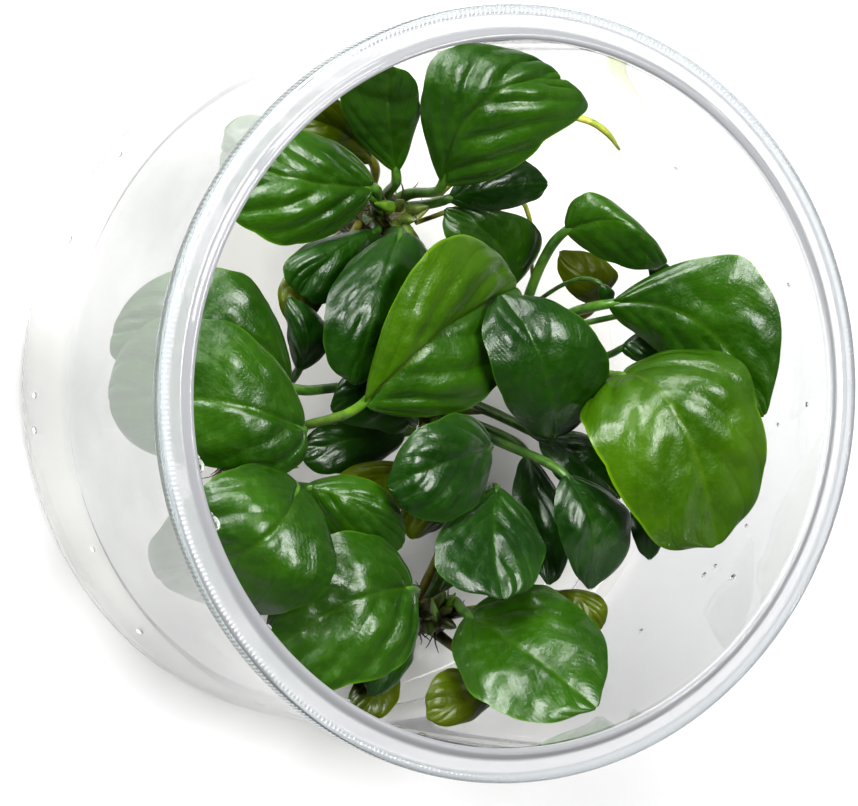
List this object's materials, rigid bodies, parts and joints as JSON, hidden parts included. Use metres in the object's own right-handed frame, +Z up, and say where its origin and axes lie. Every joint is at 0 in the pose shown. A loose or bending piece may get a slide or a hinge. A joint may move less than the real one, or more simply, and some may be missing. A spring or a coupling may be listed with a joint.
{
  "type": "tissue culture plant cup",
  "caption": "Low clear cup with a skirted rim, holding a bed of clear gel and a dense clump of small round-leaved water plants on short rhizomes.",
  "frame": {"origin": "centre of the underside of the cup's flat base", "axes": "+Z up along the cup's axis to its open mouth; the picture's bottom is towards +X and its right towards +Y; the picture's camera looks down into the mouth from the -Y side, 26 degrees off the axis"},
  "size_m": [0.1, 0.1, 0.06],
  "materials": {
    "clear": "clear thin plastic, glossy, faintly hazed by condensation",
    "gel": "clear set nutrient gel with a smooth wet surface",
    "rhizome": "fibrous brown-green rhizome",
    "deep": "waxy mid-green leaf",
    "dark": "waxy dark green leaf",
    "bright": "waxy bright green young leaf",
    "olive": "satin yellow-green leaf seen against the light"
  },
  "bodies": {
    "root": {"cup": "clear", "gel": "gel", "rhizome_upper": "rhizome", "rhizome_right": "rhizome", "rhizome_middle": "rhizome", "rhizome_left": "rhizome", "rhizome_lower": "rhizome", "leaf_upper_1": "deep", "leaf_upper_2": "deep", "leaf_upper_3": "olive", "leaf_upper_4": "deep", "leaf_upper_5": "dark", "leaf_upper_6": "dark", "leaf_upper_7": "dark", "leaf_upper_8": "olive", "leaf_right_1": "dark", "leaf_right_2": "deep", "leaf_right_3": "olive", "leaf_right_4": "dark", "leaf_right_5": "deep", "leaf_right_6": "deep", "leaf_right_7": "dark", "leaf_right_8": "bright", "leaf_middle_1": "dark", "leaf_middle_2": "dark", "leaf_middle_3": "dark", "leaf_middle_4": "dark", "leaf_middle_5": "dark", "leaf_middle_6": "dark", "leaf_middle_7": "olive", "leaf_middle_8": "deep", "leaf_middle_9": "deep", "leaf_left_1": "bright", "leaf_left_2": "dark", "leaf_left_3": "deep", "leaf_left_4": "deep", "leaf_left_5": "deep", "leaf_lower_1": "deep", "leaf_lower_2": "dark", "leaf_lower_3": "olive", "leaf_lower_4": "dark", "leaf_lower_5": "deep", "leaf_lower_6": "olive", "leaf_lower_7": "olive", "leaf_lower_8": "dark", "leaf_lower_9": "olive"}
  },
  "joints": []
}
